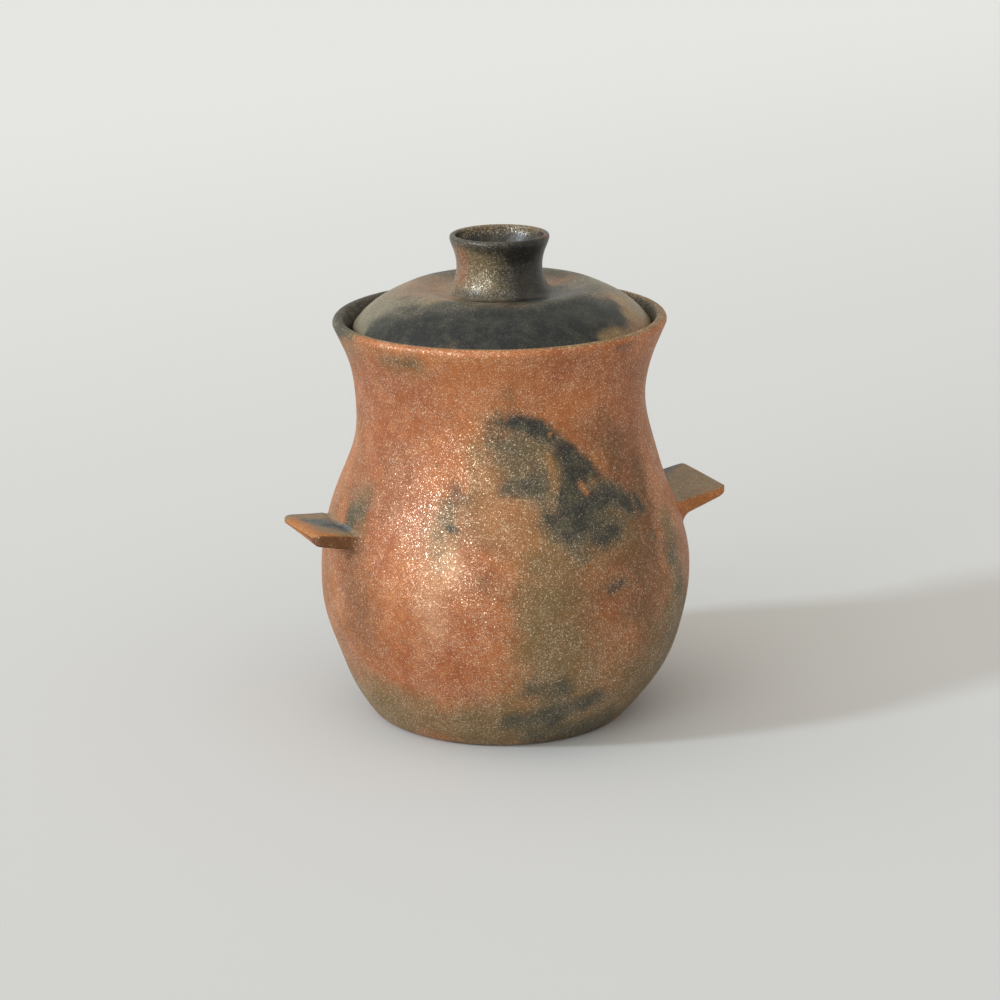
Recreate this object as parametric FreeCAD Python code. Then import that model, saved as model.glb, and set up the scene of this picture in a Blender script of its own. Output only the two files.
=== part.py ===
"""Lidded stoneware bean pot: a hand-built round-bellied pot with two flat lug handles and
a domed drop-in lid whose hollow collar knob stands in a shallow dish in its crown.

Row frame: origin at the centre of the base, +Z up, the lugs on the X axis, millimetres.
"""
import FreeCAD, Part
import math
import os

# ---- pot body ----
base_radius = 61.8          # flat that the pot stands on
foot_round = 6.0            # radius of the turn from the base into the wall
foot_lean = 39.0            # degrees from upright at which the wall leaves the foot
belly_radius = 92.4         # widest point, outside
belly_height = 77.0         # height of the widest point
belly_pull_below = 0.14     # how long the wall stays upright below the belly, share of its rise
foot_pull = 0.55            # how far the foot's lean carries up, share of its rise
shoulder_height = 84.5      # from the belly up to the neck
belly_pull_above = 0.34     # how long the wall stays upright above the belly, share of its rise
neck_pull = 0.42            # how long it is upright below the neck, share of its rise
neck_radius = 71.8          # narrowest point, outside
neck_sweep = 70.0           # radius of the hollow curve above the neck
flare_angle = 23.8          # degrees from upright at which the mouth opens
mouth_height = 41.3         # from the neck up to the top of the lip
wall = 5.6                  # wall of the pot, and width of its rounded lip
floor_thickness = 7.0
floor_round = 12.0          # radius inside, between the floor and the wall

# ---- lug handles ----
lug_reach = 17.8            # how far a lug stands out past the belly
lug_tip_width = 46.0        # across its outer edge
lug_root_width = 50.0       # across it where it meets the wall
lug_corner = 4.0            # radius of its corners, seen from above
lug_tip_thickness = 4.4
lug_root_thickness = 8.0
lug_rise = 25.0             # from the belly up to the middle of the lug at its root
lug_slope = 12.0            # degrees that the lug rises outwards
lug_edge_round = 1.5        # radius of its worn edges
lug_fillet = 5.0            # radius of the clay drawn onto the wall round its root
lug_root_turn = 46.0        # degrees that the drawn clay turns before it meets the wall

# ---- lid ----
lid_thickness = 5.5
lid_seat_depth = 5.8        # from the top of the lip down to the middle of the lid's edge
lid_clearance = 0.3         # gap between the lid's rounded edge and the flare it sits in
crown_radius = 124.0        # outside radius of the dome
haunch_radius = 44.0        # outside radius of the tighter curve round the dome's edge
lid_edge_angle = 53.6       # degrees from level at which the dome ends

# ---- dish in the lid's crown, where the knob stands ----
dish_margin = 1.0           # flat left round the knob's root
dish_run = 20.0             # from the flat out to where the dome's own curve takes over
dish_drop = 2.2             # how far the flat lies below that place
dish_thickness = 4.8        # of the lid under the flat
dish_crest_pull = 7.0       # how far the dome's slope carries on up into the crest
dish_floor_pull = 7.0       # how far the dish stays level before it climbs to the crest

# ---- knob ----
knob_height = 28.1          # from the dish to the top of the knob
knob_lip_radius = 24.4      # outside
knob_lip_width = 3.0        # width of its rounded lip
knob_waist_radius = 21.0    # outside
knob_waist_height = 12.4    # above the dish
knob_waist_wall = 3.5
knob_root_spread = 6.0      # how far its foot runs out over the dish
knob_cup_spread = 1.5       # how far its foot runs in over the dish
knob_waist_pull = 0.52      # how long the knob is upright above its waist, share of the rise
knob_lip_pull = 0.22        # how long it is upright below its lip, share of the rise

# ---- worked out from the sizes above ----
flare = math.radians(flare_angle)
lean = math.radians(foot_lean)
neck_height = belly_height + shoulder_height
rim_height = neck_height + mouth_height
lip_radius = wall / 2.0
sweep_centre_radius = neck_radius + neck_sweep
touching = 0.001            # two points this near count as one


def at(radius, height):
    """A point of a profile in the XZ plane."""
    return FreeCAD.Vector(radius, 0.0, height)


def line(start, end):
    return Part.LineSegment(start, end).toShape()


def arc(start, through, end):
    return Part.Arc(start, through, end).toShape()


def arc_about(centre, radius, start_angle, end_angle):
    """An arc in the XZ plane, with its angles in radians from +X towards +Z."""
    def point(angle):
        return centre + at(radius * math.cos(angle), radius * math.sin(angle))

    return arc(point(start_angle), point((start_angle + end_angle) / 2.0), point(end_angle))


def bezier(*poles):
    curve = Part.BezierCurve()
    curve.setPoles(list(poles))
    return curve.toShape()


def first_point(edge):
    return edge.valueAt(edge.FirstParameter)


def last_point(edge):
    return edge.valueAt(edge.LastParameter)


def revolve(edges):
    """Turns a closed profile, given as edges in the XZ plane, about the Z axis."""
    wire = Part.Wire(Part.__sortEdges__(edges))
    solid = Part.Face(wire).revolve(FreeCAD.Vector(0, 0, 0), FreeCAD.Vector(0, 0, 1), 360.0)
    return solid.removeSplitter()


# ---- pot body ----

def side_curve(start, inset):
    """Foot to neck, as two curves that meet upright at the belly, moved inwards by inset."""
    belly = at(belly_radius - inset, belly_height)
    rise = belly_height - start.z
    along_lean = at(math.sin(lean), math.cos(lean))
    below = bezier(start, start + along_lean * (foot_pull * rise),
                   belly - at(0, belly_pull_below * rise), belly)
    neck = at(neck_radius - inset, neck_height)
    above = bezier(belly, belly + at(0, belly_pull_above * shoulder_height),
                   neck - at(0, neck_pull * shoulder_height), neck)
    return [below, above]


def flare_curve(inset):
    """Neck to lip: a hollow sweep and a straight flare, moved inwards by inset."""
    centre = at(sweep_centre_radius, neck_height)
    sweep = arc_about(centre, neck_sweep + inset, math.pi, math.pi - flare)
    start = last_point(sweep)
    lip_height = rim_height - lip_radius
    outer_end_height = lip_height - lip_radius * math.sin(flare)
    end_height = outer_end_height + inset * math.sin(flare)
    run = (end_height - start.z) * math.tan(flare)
    straight = line(start, at(start.x + run, end_height))
    return [sweep, straight]


def outer_wall():
    """The outside of the pot from the edge of its base up to the lip."""
    centre = at(base_radius, foot_round)
    foot = arc_about(centre, foot_round, -math.pi / 2.0, -lean)
    return [foot] + side_curve(last_point(foot), 0.0) + flare_curve(0.0)


def inner_wall():
    """The inside, from the edge of the flat floor up to the lip."""
    foot_end = at(base_radius + foot_round * math.cos(lean), foot_round * (1.0 - math.sin(lean)))
    inside = foot_end + at(-wall * math.cos(lean), wall * math.sin(lean))
    corner_radius = inside.x + (floor_thickness - inside.z) * math.tan(lean)
    tangent_length = floor_round * math.tan((math.pi / 2.0 - lean) / 2.0)
    centre = at(corner_radius - tangent_length, floor_thickness + floor_round)
    corner = arc_about(centre, floor_round, -math.pi / 2.0, -lean)
    return [corner] + side_curve(last_point(corner), wall) + flare_curve(wall)


def pot_body():
    outside = outer_wall()
    inside = inner_wall()
    outer_end = last_point(outside[-1])
    inner_end = last_point(inside[-1])
    crest = (outer_end + inner_end) * 0.5 + at(math.sin(flare), math.cos(flare)) * lip_radius
    floor_edge = first_point(inside[0])
    base = line(at(0, 0), first_point(outside[0]))
    lip = arc(outer_end, crest, inner_end)
    floor = line(floor_edge, at(0, floor_edge.z))
    axis = line(at(0, floor_edge.z), at(0, 0))
    return revolve([base] + outside + [lip] + inside + [floor, axis])


def filled_pot():
    """The pot with its inside filled, which is what the lugs are fitted to."""
    outside = outer_wall()
    top = last_point(outside[-1])
    base = line(at(0, 0), first_point(outside[0]))
    cover = line(top, at(0, top.z))
    axis = line(at(0, top.z), at(0, 0))
    return revolve([base] + outside + [cover, axis])


# ---- lug handles ----

def wall_radius(pot, height):
    """The pot's outside radius at a height."""
    ray = line(at(0, height), at(2.0 * belly_radius, height))
    return ray.common(pot).BoundBox.XMax


def flared_side(tip, root, depth, turn_sign):
    """One side of the lug's outline, from its tip to its root and on to a depth in the wall.

    The straight side ends in a hollow arc that turns away from the lug, as the clay does
    where it is drawn onto the wall. turn_sign is +1 where that is a turn clockwise.
    The points are in the XY plane, and depth is the x that the side runs on to.
    """
    along = (root - tip).normalize()
    away = FreeCAD.Vector(along.y, -along.x, 0) * turn_sign
    centre = root + away * lug_fillet
    turned = math.radians(lug_root_turn)

    def on_arc(angle):
        return centre - away * (lug_fillet * math.cos(angle)) + along * (lug_fillet * math.sin(angle))

    end = on_arc(turned)
    onward = along * math.cos(turned) + away * math.sin(turned)
    deep = end + onward * ((depth - end.x) / onward.x)
    return [line(tip, root), arc(root, on_arc(turned / 2.0), end), line(end, deep)]


def closed_outline(first_side, second_side):
    """A face between two sides, each given from the tip inwards, closed at tip and root."""
    tip = line(first_point(first_side[0]), first_point(second_side[0]))
    root = line(last_point(first_side[-1]), last_point(second_side[-1]))
    return Part.Face(Part.Wire(Part.__sortEdges__([tip, root] + first_side + second_side)))


def lug_plan(root_radius, depth):
    """The lug seen from above: a flat tab that widens evenly from its outer edge to the wall."""
    tip_x = belly_radius + lug_reach
    tip_half = lug_tip_width / 2.0
    root_half = lug_root_width / 2.0
    root_x = math.sqrt(root_radius ** 2 - root_half ** 2) + lug_fillet
    far = flared_side(FreeCAD.Vector(tip_x, tip_half, 0), FreeCAD.Vector(root_x, root_half, 0), depth, 1.0)
    near = flared_side(FreeCAD.Vector(tip_x, -tip_half, 0), FreeCAD.Vector(root_x, -root_half, 0), depth, -1.0)
    return closed_outline(far, near)


def lug_section(root_radius, depth):
    """The lug cut along its middle: a slab that rises and thins outwards, drawn as if z were y."""
    tip_x = belly_radius + lug_reach + lug_corner
    root_x = root_radius + lug_fillet
    root_z = belly_height + lug_rise
    tip_z = root_z + math.tan(math.radians(lug_slope)) * (tip_x - root_x)
    tip_half = lug_tip_thickness / 2.0
    root_half = lug_root_thickness / 2.0
    top = flared_side(FreeCAD.Vector(tip_x, tip_z + tip_half, 0),
                      FreeCAD.Vector(root_x, root_z + root_half, 0), depth, 1.0)
    under = flared_side(FreeCAD.Vector(tip_x, tip_z - tip_half, 0),
                        FreeCAD.Vector(root_x, root_z - root_half, 0), depth, -1.0)
    return closed_outline(top, under)


def lug_ring(root_radius, depth):
    """The lug's section turned about the pot's axis, so that its drawn clay follows the wall."""
    half_spread = math.asin((lug_root_width / 2.0 + lug_fillet) / root_radius)
    turn = math.degrees(2.0 * half_spread)
    section = lug_section(root_radius, depth * math.cos(half_spread))
    axis = FreeCAD.Vector(0, 0, 1)
    section.rotate(FreeCAD.Vector(0, 0, 0), FreeCAD.Vector(1, 0, 0), 90.0)
    section.rotate(FreeCAD.Vector(0, 0, 0), axis, -turn)
    return section.revolve(FreeCAD.Vector(0, 0, 0), axis, 2.0 * turn)


def lug_prism(root_radius, depth):
    """The lug's plan, with its outer corners rounded, drawn up as an upright block."""
    block = lug_plan(root_radius, depth).extrude(FreeCAD.Vector(0, 0, rim_height))
    corners = [edge for edge in block.Edges
               if is_upright(edge) and edge.BoundBox.XMin > belly_radius + lug_reach - touching]
    return block.makeFillet(lug_corner, corners)


def lug_slab(root_radius):
    """The tab before it is cut to sit on the wall, with its edges worn round."""
    half_width = lug_root_width / 2.0 + lug_fillet
    depth = math.sqrt(root_radius ** 2 - half_width ** 2)
    prism = lug_prism(root_radius, depth)
    slab = prism.common(lug_ring(root_radius, depth))
    rims = [edge for edge in slab.Edges if is_rim(edge, prism, depth)]
    return slab.makeFillet(lug_edge_round, rims)


def is_upright(edge):
    box = edge.BoundBox
    return box.ZLength > 2.0 * max(box.XLength, box.YLength)


def is_rim(edge, prism, depth):
    """True for an edge between the lug's flats and its sides, outside the hidden end."""
    middle = edge.valueAt((edge.FirstParameter + edge.LastParameter) / 2.0)
    on_side = prism.Shells[0].distToShape(Part.Vertex(middle))[0] < touching
    return on_side and middle.x > depth + touching and not is_upright(edge)


def right_lug():
    """The tab, cut to sit face to face on the wall."""
    pot = filled_pot()
    root_radius = wall_radius(pot, belly_height + lug_rise)
    lug = lug_slab(root_radius).cut(pot)
    return max(lug.Solids, key=lambda solid: solid.Volume)


def left_lug():
    lug = right_lug()
    lug.rotate(FreeCAD.Vector(0, 0, 0), FreeCAD.Vector(0, 0, 1), 180.0)
    return lug


# ---- lid ----

def flare_inner_radius(height):
    """Inside radius of the straight flare at a height."""
    start = last_point(flare_curve(wall)[0])
    return start.x + (height - start.z) * math.tan(flare)


def dome_arcs():
    """Centres of the dome's two arcs, and the angle from level at which they meet.

    The lid's edge is a half round whose middle lies lid_clearance and half the lid's
    thickness off the flare, and the arcs are set back from there.
    """
    half = lid_thickness / 2.0
    edge_height = rim_height - lid_seat_depth
    edge_radius = flare_inner_radius(edge_height) - (half + lid_clearance) / math.cos(flare)
    end = math.radians(lid_edge_angle)
    haunch_middle = haunch_radius - half
    haunch_centre = at(edge_radius - haunch_middle * math.sin(end), edge_height - haunch_middle * math.cos(end))
    step = crown_radius - haunch_radius
    meet = math.asin(haunch_centre.x / step)
    crown_centre = at(0, haunch_centre.z - step * math.cos(meet))
    return crown_centre, haunch_centre, meet, end


def dish_flat():
    """Where the knob's foot ends and its margin with it: the edge of the dish's flat."""
    flat_radius = knob_waist_radius + knob_root_spread + dish_margin
    crown_centre = dome_arcs()[0]
    start_angle = math.asin((flat_radius + dish_run) / crown_radius)
    flat_height = crown_centre.z + crown_radius * math.cos(start_angle) - dish_drop
    return at(flat_radius, flat_height), start_angle


def dome_side(inset, sunk):
    """One side of the dome's wall, from the axis over the dish and its crest out to the edge.

    inset moves the dome's own curves inwards, and sunk lowers the dish's flat.
    """
    crown_centre, haunch_centre, meet, end = dome_arcs()
    upright = math.pi / 2.0
    flat_edge, start_angle = dish_flat()
    flat_edge = flat_edge - at(0, sunk)
    crown = arc_about(crown_centre, crown_radius - inset, upright - start_angle, upright - meet)
    haunch = arc_about(haunch_centre, haunch_radius - inset, upright - meet, upright - end)
    uphill = at(-math.cos(start_angle), math.sin(start_angle))
    start = first_point(crown)
    crest = bezier(flat_edge, flat_edge + at(dish_floor_pull, 0), start + uphill * dish_crest_pull, start)
    flat = line(at(0, flat_edge.z), flat_edge)
    return [flat, crest, crown, haunch]


def lid_dome():
    outside = dome_side(0.0, 0.0)
    inside = dome_side(lid_thickness, dish_thickness)
    outer_end = last_point(outside[-1])
    inner_end = last_point(inside[-1])
    end = math.radians(lid_edge_angle)
    outward = at(math.cos(end), -math.sin(end))
    tip = (outer_end + inner_end) * 0.5 + outward * (lid_thickness / 2.0)
    edge = arc(outer_end, tip, inner_end)
    axis = line(first_point(inside[0]), first_point(outside[0]))
    return revolve(outside + [edge] + inside + [axis])


# ---- knob ----

def knob_side(waist_radius, lip_radius_here, root_radius):
    """One side of the knob's wall, from its foot on the dish over the waist up to the lip."""
    dish_height = dish_flat()[0].z
    root = at(root_radius, dish_height)
    waist = at(waist_radius, dish_height + knob_waist_height)
    lip = at(lip_radius_here, dish_height + knob_height - knob_lip_width / 2.0)
    back = at((waist_radius - root_radius) / 2.0, 0)
    rise = lip.z - waist.z
    sweep = bezier(root, root + back, waist - at(0, knob_waist_height / 2.0), waist)
    cup = bezier(waist, waist + at(0, knob_waist_pull * rise), lip - at(0, knob_lip_pull * rise), lip)
    return [sweep, cup]


def lid_knob():
    """A collar of clay, open at the top, luted to the dish in the dome's crown."""
    inner_waist = knob_waist_radius - knob_waist_wall
    outside = knob_side(knob_waist_radius, knob_lip_radius, knob_waist_radius + knob_root_spread)
    inside = knob_side(inner_waist, knob_lip_radius - knob_lip_width, inner_waist - knob_cup_spread)
    outer_end = last_point(outside[-1])
    inner_end = last_point(inside[-1])
    crest = (outer_end + inner_end) * 0.5 + at(0, knob_lip_width / 2.0)
    lip = arc(outer_end, crest, inner_end)
    seat = line(first_point(inside[0]), first_point(outside[0]))
    return revolve(outside + [lip] + inside + [seat])


PIECES = {
    "pot_body": pot_body,
    "left_lug": left_lug,
    "right_lug": right_lug,
    "lid_dome": lid_dome,
    "lid_knob": lid_knob,
}

os.makedirs("parts", exist_ok=True)
for name, make in PIECES.items():
    shape = make()
    shape.exportStep("parts/" + name + ".step")
    print(name, "valid", shape.isValid(), "solids", len(shape.Solids), "volume", round(shape.Volume))
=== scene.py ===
"""Looks of a lidded bean pot in burnished, smoke-clouded micaceous clay.

The row frame is used throughout: origin at the centre of the base, +Z up, the lugs on X.
Shapes are worked out in millimetres and go into their meshes in metres. A bearing is an
angle round the pot in degrees, counted from its front (-Y) towards the right lug (+X).
"""
import math

import bpy
import numpy as np
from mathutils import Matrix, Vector


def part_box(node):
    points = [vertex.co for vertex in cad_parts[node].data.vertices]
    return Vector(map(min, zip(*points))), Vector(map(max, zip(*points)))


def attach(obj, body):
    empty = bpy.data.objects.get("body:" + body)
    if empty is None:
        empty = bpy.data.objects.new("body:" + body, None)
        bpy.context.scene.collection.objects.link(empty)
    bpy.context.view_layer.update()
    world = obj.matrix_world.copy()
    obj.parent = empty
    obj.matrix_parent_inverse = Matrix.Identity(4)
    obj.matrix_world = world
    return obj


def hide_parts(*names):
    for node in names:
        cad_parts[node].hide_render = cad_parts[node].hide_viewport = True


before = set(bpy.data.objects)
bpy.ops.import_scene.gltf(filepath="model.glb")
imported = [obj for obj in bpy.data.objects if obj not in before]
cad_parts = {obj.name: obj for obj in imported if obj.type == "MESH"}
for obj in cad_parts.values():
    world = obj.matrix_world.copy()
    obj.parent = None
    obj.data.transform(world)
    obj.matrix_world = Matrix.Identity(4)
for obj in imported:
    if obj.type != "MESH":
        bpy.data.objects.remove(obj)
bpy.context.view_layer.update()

MM = 0.001                      # metres in a millimetre
quarter_turn = math.pi / 2.0    # in radians
full_turn = 360.0               # in degrees


def node_box(node):
    """Lowest and highest corner of a CAD node, in millimetres."""
    low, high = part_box(node)
    return np.array(low) / MM, np.array(high) / MM


pot_high = node_box("pot_body")[1]
dome_high = node_box("lid_dome")[1]
knob_low, knob_high = node_box("lid_knob")

# ---- pot body, in millimetres; a pull is a share of the height that its curve climbs ----
belly_radius = pot_high[0]
rim_height = pot_high[2]
belly_height = 77.0
base_radius = 60.6
foot_round = 6.0
foot_lean = math.radians(40.5)  # from upright, where the wall leaves the foot
foot_pull = 0.55
belly_pull_below = 0.14
belly_pull_above = 0.34
neck_pull = 0.42
neck_radius = 71.8
neck_height = 161.5
neck_sweep = 70.0               # radius of the neck's outward sweep
flare = math.radians(23.8)      # from upright, at the mouth
wall = 5.6
floor_thickness = 7.0
floor_round = 12.0
floor_round_start = 0.4         # share of floor_round above the floor where the inside wall ends
floor_round_pull = 0.5
hub_radius = 4.0                # the rows stop this far from the axis, and a pole closes them
pot_columns = 400
pot_rows = {"base": 10, "foot": 7, "below": 52, "above": 58, "sweep": 22, "flare": 9, "lip": 15, "corner": 8,
            "floor": 10}
inside_step = 3                 # the inside keeps every third row of the outside

# ---- what hands left uneven, in millimetres and degrees ----
lean_bearing = 67.3             # the way the belly drifts and the rim climbs
# height, spread and shift of each swelling
drifts = ((77.0, 52.0, 2.6), (138.0, 17.0, 1.2), (33.0, 16.0, 1.7), (0.0, 8.0, -0.6))
rim_drift = -0.3
rim_climb = math.radians(0.78)
climb_start = 161.0
climb_end = 200.0
dent_depth = 0.3
dent_seed = 4
dent_waves = 14
dent_turns = 7                  # most waves that one dent field has round the pot
dent_tallness = 45.0            # shortest wave up the wall
dent_start = 20.0               # the dents are full from this height
dent_calm = 0.7                 # share of them that fades towards the rim
dent_calm_start = 170.0
lid_shift = 1.2
lid_climb = math.radians(0.8)
knob_shift = -1.2

# ---- lid and knob, in millimetres; the knob's pulls are shares of the height they climb ----
lid_thickness = 5.5
lid_seat_depth = 5.8            # from the rim down to the middle of the lid's edge
lid_shrink = 1.0                # the lid is this much smaller than its seat
lid_columns = 384
lid_hub_radius = 2.0
dome_rows = {"top": 30, "under": 16, "crest": 10, "flat": 12, "edge": 14}
crown_radius = 124.0
haunch_radius = 44.0
lid_edge_angle = math.radians(53.6)
dish_height = knob_low[2]
dish_margin = 1.0               # flat between the knob's foot and the dish's slope
dish_run = 20.0
dish_thickness = 4.8
dish_crest_pull = 7.0
dish_floor_pull = 7.0
knob_columns = 256
knob_rows = {"outside": 26, "inside": 20, "lip": 12, "under": 4}
knob_lip_radius = 24.4
knob_lip_width = 3.0
knob_waist_radius = 21.0
knob_waist_height = 12.4
knob_waist_wall = 3.5
knob_foot_spread = 6.0
knob_cup_spread = 1.5
knob_waist_pull = 0.52
knob_lip_pull = 0.22
knob_sunk = 0.8                 # how deep its hidden foot sits in the dish

# ---- lugs, in millimetres; make_lug tells what the parts of a shape are ----
lug_edge_round = 1.5
lug_seat = 0.1                  # how deep a lug's hidden end sits in the wall
lug_pole_depth = 1.0
lug_fillet_rows = 12
lug_run_rows = 26
lug_tip_crowding = 1.6          # draws the rows together towards the tip
lug_root_rows = (1.0, 9.0)      # rows over which the wall's marks give way to the lug's own
lug_front_start = 12.0          # the front side's painted shade, and its loss of ochre, begin this far from the middle
left_lug_shape = {
    "sign": -1.0, "reach": 108.9, "half_width": 20.8, "middle": 101.7, "slope": 0.165, "cross": 0.008,
    "thickness": 4.8, "thinning": 0.165, "skew": 0.07, "corners": (3.5, 6.5), "tip_round": 2.4, "roll": 1.9,
    "taper": 0.26, "fillet": 3.2, "pull": 0.5}
right_lug_shape = {
    "sign": 1.0, "reach": 112.9, "half_width": 25.5, "middle": 101.1, "slope": 0.285, "cross": -0.01,
    "thickness": 4.1, "thinning": 0.17, "skew": 0.0, "corners": (6.0, 4.5), "tip_round": 1.95, "roll": 1.4,
    "taper": 0.0, "fillet": 5.0, "pull": 0.6}
# a lug's umber tones are painted shade on its sides and front side, and the front's soot share is painted
# shade in a soot tone
left_lug_tones = {"front_end": 19.0, "front_soot_shade": 0.0, "front_painted_shade": 0.75, "front_bare": 1.0, "painted_shade": 0.2,
                  "olive": 0.75, "ochre": 0.8}
right_lug_tones = {"front_end": 22.0, "front_soot_shade": 0.2, "front_painted_shade": 0.0, "front_bare": 0.0, "painted_shade": 0.7,
                   "olive": 0.8, "ochre": 0.85}


# ---- outlines: (radius, height) rows in millimetres ----

def bezier(start, first_pull, second_pull, end, count):
    """Cubic curve: each pole weighted by its Bernstein share of t, for count values of t."""
    t = np.linspace(0.0, 1.0, count)[:, None]
    poles = [np.array(pole, float) for pole in (start, first_pull, second_pull, end)]
    shares = [(1 - t) ** 3, 3 * t * (1 - t) ** 2, 3 * t ** 2 * (1 - t), t ** 3]
    return sum(share * pole for share, pole in zip(shares, poles))


def arc(centre, radius, start, end, count):
    """Centre plus radius times (cosine, sine) of an angle that runs from start to end."""
    angle = np.linspace(start, end, count)
    return np.stack([centre[0] + radius * np.cos(angle), centre[1] + radius * np.sin(angle)], 1)


def straight(start, end, count):
    """Evenly spaced points from start to end."""
    return np.linspace(start, end, count)


def joined(*runs):
    """Runs placed end to end, with the point that two of them share kept once."""
    return np.concatenate([runs[0]] + [run[1:] for run in runs[1:]])


def moved_left(outline, distance):
    """Each point moved square to the outline's direction, to its left."""
    step = np.gradient(outline, axis=0)
    step /= np.linalg.norm(step, axis=1, keepdims=True)
    return outline + distance * np.stack([-step[:, 1], step[:, 0]], 1)


def run_length(outline):
    """Distance along an outline at each of its points."""
    return np.append(0.0, np.cumsum(np.linalg.norm(np.diff(outline, axis=0), axis=1)))


def pot_side():
    """Outside of the pot from above its foot to below its lip: two cubic curves, an arc and a line."""
    start = np.array([base_radius + foot_round * math.cos(foot_lean),
                      foot_round * (1.0 - math.sin(foot_lean))])
    along = np.array([math.sin(foot_lean), math.cos(foot_lean)])
    rise = belly_height - start[1]
    below = bezier(start, start + along * foot_pull * rise,
                   (belly_radius, belly_height - belly_pull_below * rise), (belly_radius, belly_height),
                   pot_rows["below"])
    shoulder = neck_height - belly_height
    above = bezier((belly_radius, belly_height), (belly_radius, belly_height + belly_pull_above * shoulder),
                   (neck_radius, neck_height - neck_pull * shoulder), (neck_radius, neck_height),
                   pot_rows["above"])
    sweep = arc((neck_radius + neck_sweep, neck_height), neck_sweep, math.pi, math.pi - flare,
                pot_rows["sweep"])
    lip_low = rim_height - wall / 2.0 * (1.0 + math.sin(flare))
    lip_radius = sweep[-1, 0] + (lip_low - sweep[-1, 1]) * math.tan(flare)
    return joined(below, above, sweep, straight(sweep[-1], (lip_radius, lip_low), pot_rows["flare"]))


def pot_outline():
    """The whole pot: centre of the base, out, up the wall, over the lip, down inside, to the axis."""
    side = pot_side()
    base = straight((hub_radius, 0.0), (base_radius, 0.0), pot_rows["base"])
    foot = arc((base_radius, foot_round), foot_round, -quarter_turn, -foot_lean, pot_rows["foot"])
    inner = moved_left(side, wall)
    inner = inner[inner[:, 1] > floor_thickness + floor_round * floor_round_start][::-inside_step]
    middle = (side[-1] + inner[0]) / 2.0
    lip = arc(middle, wall / 2.0, -flare, math.pi - flare, pot_rows["lip"])
    pull = floor_round * floor_round_pull
    turn = inner[-1] - inner[-2]
    turn *= pull / np.linalg.norm(turn)
    flat = (inner[-1, 0] - floor_round, floor_thickness)
    corner = bezier(inner[-1], inner[-1] + turn, (flat[0] + pull, floor_thickness), flat, pot_rows["corner"])
    floor = straight(flat, (hub_radius, floor_thickness), pot_rows["floor"])
    return joined(base, foot, side, lip, inner, corner, floor)


def dome_outline():
    """Underside's centre, out to the rounded edge, back over the haunch, crown, crest and dish.

    Haunch and crown are arcs that touch, and the crest is a cubic curve down to the dish's flat.
    """
    level = quarter_turn            # the angle at which an arc is level
    edge_radius = dome_high[0] - lid_thickness / 2.0 - lid_shrink
    edge_height = rim_height - lid_seat_depth
    haunch_middle = haunch_radius - lid_thickness / 2.0
    haunch_centre = np.array([edge_radius - haunch_middle * math.sin(lid_edge_angle),
                              edge_height - haunch_middle * math.cos(lid_edge_angle)])
    step = crown_radius - haunch_radius
    meet = math.asin(haunch_centre[0] / step)
    crown_centre = np.array([0.0, haunch_centre[1] - step * math.cos(meet)])
    flat_radius = knob_waist_radius + knob_foot_spread + dish_margin
    start = math.asin((flat_radius + dish_run) / crown_radius)
    uphill = dish_crest_pull * np.array([-math.cos(start), math.sin(start)])

    def side(inset, height, steps):
        """From the edge inwards; inset and height place the dome's wall and the dish's flat."""
        haunch = arc(haunch_centre, haunch_radius - inset, level - lid_edge_angle, level - meet, steps)
        crown = arc(crown_centre, crown_radius - inset, level - meet, level - start, steps)
        crest = bezier(crown[-1], crown[-1] + uphill, (flat_radius + dish_floor_pull, height),
                       (flat_radius, height), steps + dome_rows["crest"])
        flat = straight(crest[-1], (lid_hub_radius, height), dome_rows["flat"])
        return joined(haunch, crown, crest, flat)

    top = side(0.0, dish_height, dome_rows["top"])
    under = side(lid_thickness, dish_height - dish_thickness, dome_rows["under"])[::-1]
    middle = (under[-1] + top[0]) / 2.0
    edge = arc(middle, lid_thickness / 2.0, -level - lid_edge_angle, level - lid_edge_angle,
               dome_rows["edge"])
    return joined(under, edge, top)


def knob_outline():
    """Closed outline: outer foot, up the outside, over the lip, down inside, back under."""
    waist_height = dish_height + knob_waist_height
    lip_height = knob_high[2] - knob_lip_width / 2.0
    rise = lip_height - waist_height

    def side(waist, lip, foot, steps):
        """Two cubic curves: the foot's sweep up to the waist, and the cup's out to the lip."""
        sweep = bezier((foot, dish_height), ((foot + waist) / 2.0, dish_height),
                       (waist, dish_height + knob_waist_height / 2.0), (waist, waist_height), steps)
        cup = bezier((waist, waist_height), (waist, waist_height + knob_waist_pull * rise),
                     (lip, lip_height - knob_lip_pull * rise), (lip, lip_height), steps)
        return joined(sweep, cup)

    inner_waist = knob_waist_radius - knob_waist_wall
    outside = side(knob_waist_radius, knob_lip_radius, knob_waist_radius + knob_foot_spread,
                   knob_rows["outside"])
    inside = side(inner_waist, knob_lip_radius - knob_lip_width, inner_waist - knob_cup_spread,
                  knob_rows["inside"])
    lip = arc((outside[-1] + inside[-1]) / 2.0, knob_lip_width / 2.0, 0.0, math.pi, knob_rows["lip"])
    sunk = np.array([0.0, knob_sunk])
    under = straight(inside[0] - sunk, outside[0] - sunk, knob_rows["under"])
    return joined(outside, lip, inside[::-1], np.vstack([inside[:1], under]))


# ---- the hand's unevenness ----

def bearing_of(points):
    """The arctangent of x over -y, in degrees."""
    return np.degrees(np.arctan2(points[..., 0], -points[..., 1]))


def around(bearing):
    """Unit vector (x, y) towards a bearing."""
    angle = np.radians(bearing)
    return np.stack([np.sin(angle), -np.cos(angle)], -1)


def eased(values, start, end):
    """0 before start and 1 after end, along 3t^2 - 2t^3 between them."""
    t = np.clip((values - start) / (end - start), 0.0, 1.0)
    return t * t * (3.0 - 2.0 * t)


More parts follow.
